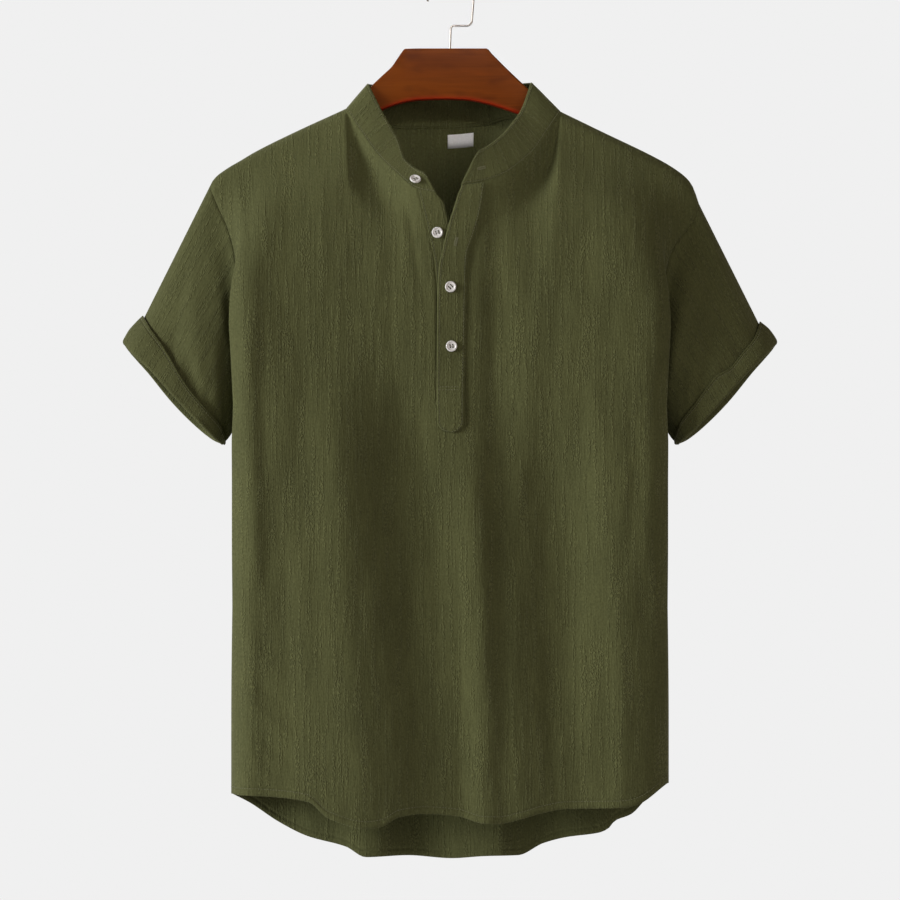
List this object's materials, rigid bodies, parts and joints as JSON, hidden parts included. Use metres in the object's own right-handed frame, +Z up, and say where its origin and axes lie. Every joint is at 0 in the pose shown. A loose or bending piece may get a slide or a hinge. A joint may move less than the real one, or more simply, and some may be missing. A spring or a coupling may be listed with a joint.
{
  "type": "button-up shirt on a wooden hanger",
  "caption": "Short-sleeved band-collar shirt with a half button placket and turned-up cuffs, hanging open at the neck on a flat wooden hanger with a wire hook.",
  "frame": {"origin": "inside the top of the hook, where it rests on the rail", "axes": "+Z up, -Y the way the shirt's front faces, +X towards the wearer's left sleeve"},
  "size_m": [0.6553, 0.1479, 0.8997],
  "materials": {
    "cloth": "matt crinkled olive cloth",
    "button": "off-white, gloss",
    "label": "pale grey woven tape",
    "wood": "brown lacquer",
    "wire": "bright wire"
  },
  "bodies": {
    "root": {"front": "cloth", "back": "cloth", "sleeve_right": "cloth", "sleeve_left": "cloth", "cuff_right": "cloth", "cuff_left": "cloth", "collar_band": "cloth", "placket_upper": "cloth", "placket_under": "cloth", "button_1": "button", "button_2": "button", "button_3": "button", "button_4": "button", "size_label": "label", "hanger": "wood", "hook": "wire"}
  },
  "joints": []
}
